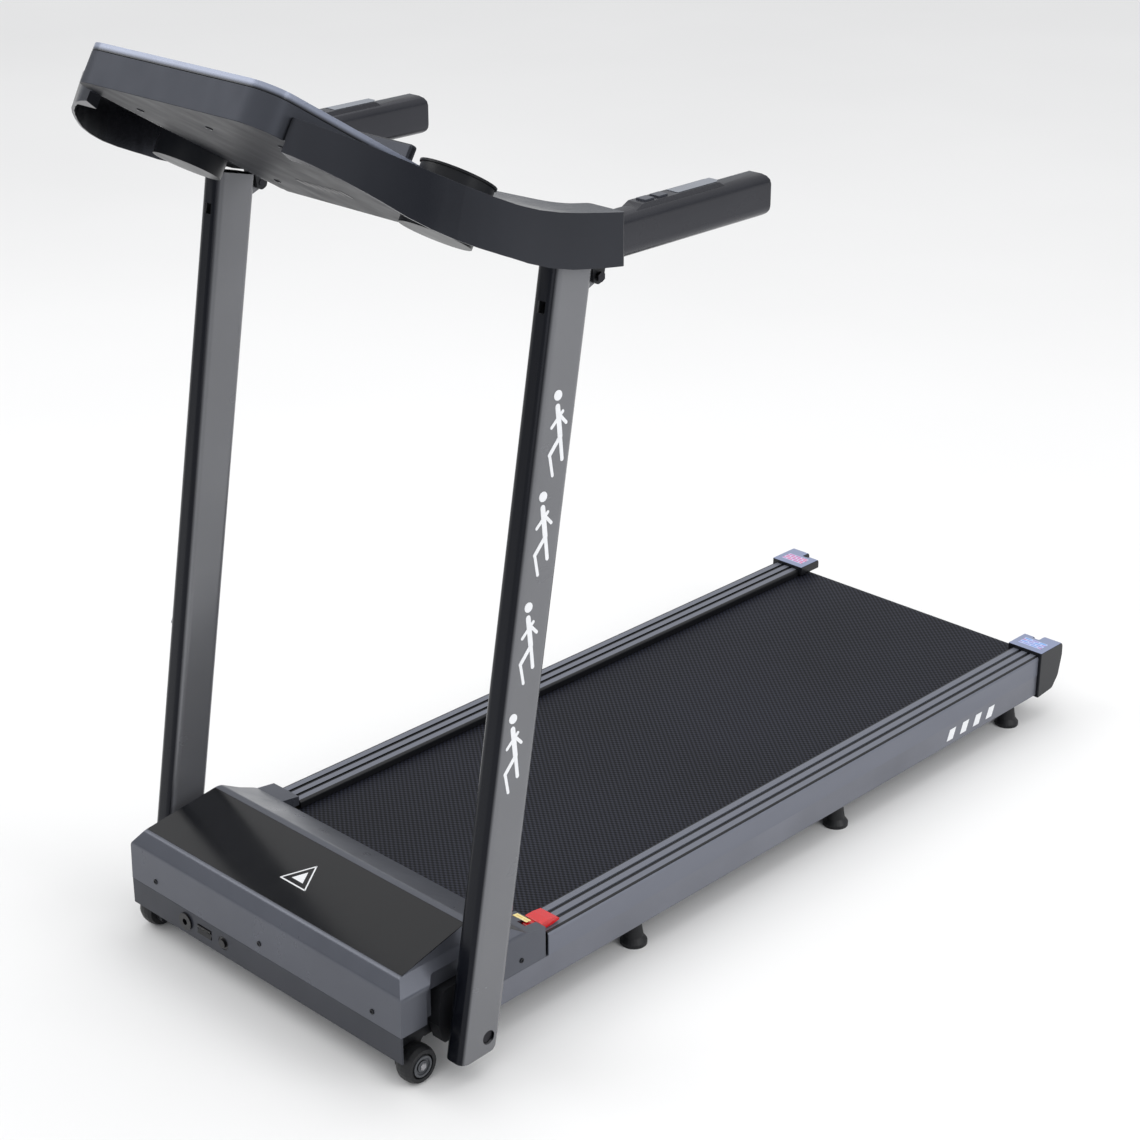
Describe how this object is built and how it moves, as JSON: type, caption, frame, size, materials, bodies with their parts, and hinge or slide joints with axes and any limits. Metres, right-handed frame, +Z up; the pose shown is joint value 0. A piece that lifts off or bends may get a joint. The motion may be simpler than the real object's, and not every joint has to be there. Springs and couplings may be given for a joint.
{
  "type": "folding treadmill",
  "caption": "Folding home treadmill: low running deck with side rails and sloped motor hood, leaning uprights, tilted console with swept arms, cup holders and long handles.",
  "frame": {"origin": "floor level, midway between the frontmost and rearmost points, on the plane of symmetry", "axes": "+X to the runner's left, +Y from the motor hood to the open end of the deck, +Z up"},
  "size_m": [0.634, 1.4376, 1.1861],
  "materials": {
    "graphite_steel": "satin",
    "black_steel": "satin",
    "zinc": "plated",
    "roller_steel": "turned",
    "graphite_plastic": "satin",
    "black_plastic": "satin",
    "gloss_black": "polished",
    "screen": "polished",
    "red_plastic": "satin",
    "belt_fabric": "diamond texture",
    "rubber": "matt",
    "board": "waxed",
    "motor_black": "satin",
    "controller": "extruded"
  },
  "bodies": {
    "base": {"frame_tube_left": "graphite_steel", "frame_tube_right": "graphite_steel", "cross_member_front": "black_steel", "cross_member_middle": "black_steel", "cross_member_rear": "black_steel", "motor_plate": "black_steel", "base_bracket_left": "black_steel", "base_bracket_right": "black_steel", "fold_bolt_left": "zinc", "fold_bolt_right": "zinc", "belt_adjuster_left": "zinc", "belt_adjuster_right": "zinc", "front_axle": "zinc", "rear_axle": "zinc", "side_rail_left": "graphite_plastic", "side_rail_right": "graphite_plastic", "hood": "graphite_plastic", "rear_cap_left": "graphite_plastic", "rear_cap_right": "graphite_plastic", "front_band": "black_plastic", "belly_pan": "black_plastic", "cord_gland": "black_plastic", "hood_panel": "gloss_black", "running_belt": "belt_fabric", "drive_belt": "belt_fabric", "foot_front_left": "rubber", "foot_front_right": "rubber", "foot_rear_left": "rubber", "foot_rear_right": "rubber", "running_board": "board", "motor": "motor_black", "motor_controller": "controller"},
    "front_roller_assembly": {"front_roller": "roller_steel"},
    "rear_roller_assembly": {"rear_roller": "roller_steel"},
    "motor_rotor": {"motor_flywheel": "zinc"},
    "wheel_left": {"transport_wheel_left": "rubber"},
    "wheel_right": {"transport_wheel_right": "rubber"},
    "rocker": {"power_switch": "black_plastic"},
    "reset_button": {"breaker_reset": "black_plastic"},
    "latch": {"lock_lever": "red_plastic"},
    "uprights": {"upright_left": "graphite_steel", "upright_right": "graphite_steel", "console_pin_left": "zinc", "console_pin_right": "zinc"},
    "console": {"console_housing": "graphite_plastic", "console_top": "graphite_plastic", "display": "screen", "cup_holder_left": "black_plastic", "cup_holder_right": "black_plastic", "console_arm_left": "graphite_plastic", "console_arm_right": "graphite_plastic", "handle_left": "black_plastic", "handle_right": "black_plastic", "console_bracket_left": "black_steel", "console_bracket_right": "black_steel"},
    "key": {"safety_key": "red_plastic"},
    "button_1_left": {"handle_button_1_left": "graphite_plastic"},
    "button_1_right": {"handle_button_1_right": "graphite_plastic"},
    "button_2_left": {"handle_button_2_left": "graphite_plastic"},
    "button_2_right": {"handle_button_2_right": "graphite_plastic"}
  },
  "joints": [
    {"name": "upright_fold", "type": "hinge", "parent": "base", "child": "uprights", "pos_m": [0, -0.5588, 0.0518], "axis": [-1, 0, 0], "range_deg": [0, 68]},
    {"name": "console_fold", "type": "hinge", "parent": "uprights", "child": "console", "pos_m": [0, -0.3691, 0.9454], "axis": [-1, 0, 0], "range_deg": [0, 90.1]},
    {"name": "front_roller_spin", "type": "hinge", "parent": "base", "child": "front_roller_assembly", "pos_m": [0, -0.4461, 0.0749], "axis": [1, 0, 0], "continuous": true},
    {"name": "rear_roller_spin", "type": "hinge", "parent": "base", "child": "rear_roller_assembly", "pos_m": [0, 0.6819, 0.0749], "axis": [1, 0, 0], "continuous": true},
    {"name": "motor_spin", "type": "hinge", "parent": "base", "child": "motor_rotor", "pos_m": [0, -0.5661, 0.098], "axis": [1, 0, 0], "continuous": true},
    {"name": "wheel_spin_left", "type": "hinge", "parent": "base", "child": "wheel_left", "pos_m": [0.25, -0.6271, 0.0246], "axis": [1, 0, 0], "continuous": true},
    {"name": "wheel_spin_right", "type": "hinge", "parent": "base", "child": "wheel_right", "pos_m": [-0.25, -0.6271, 0.0246], "axis": [1, 0, 0], "continuous": true},
    {"name": "power_rock", "type": "hinge", "parent": "base", "child": "rocker", "pos_m": [-0.1105, -0.6531, 0.06], "axis": [1, 0, 0], "range_deg": [-7, 7]},
    {"name": "reset_press", "type": "slide", "parent": "base", "child": "reset_button", "axis": [0, 1, 0], "range_m": [0, 0.002], "stiffness_N_per_m": 800, "springref_m": -0.001},
    {"name": "latch_lift", "type": "hinge", "parent": "base", "child": "latch", "pos_m": [0.236, -0.4221, 0.116], "axis": [1, 0, 0], "range_deg": [0, 12], "stiffness_Nm_per_rad": 0.2, "springref_deg": -17.19},
    {"name": "key_pull", "type": "slide", "parent": "console", "child": "key", "axis": [0, 0.5225, 0.8526], "range_m": [0, 0.03]},
    {"name": "handle_button_1_left_press", "type": "slide", "parent": "console", "child": "button_1_left", "axis": [0, 0, -1], "range_m": [0, 0.002], "stiffness_N_per_m": 600, "springref_m": -0.001},
    {"name": "handle_button_2_left_press", "type": "slide", "parent": "console", "child": "button_2_left", "axis": [0, 0, -1], "range_m": [0, 0.002], "stiffness_N_per_m": 600, "springref_m": -0.001},
    {"name": "handle_button_1_right_press", "type": "slide", "parent": "console", "child": "button_1_right", "axis": [0, 0, -1], "range_m": [0, 0.002], "stiffness_N_per_m": 600, "springref_m": -0.001},
    {"name": "handle_button_2_right_press", "type": "slide", "parent": "console", "child": "button_2_right", "axis": [0, 0, -1], "range_m": [0, 0.002], "stiffness_N_per_m": 600, "springref_m": -0.001}
  ],
  "couplings": [
    {"joint": "console_fold", "follows": "upright_fold", "ratio": 1.3235},
    {"joint": "rear_roller_spin", "follows": "front_roller_spin", "ratio": 1},
    {"joint": "motor_spin", "follows": "front_roller_spin", "ratio": 2.7273}
  ]
}
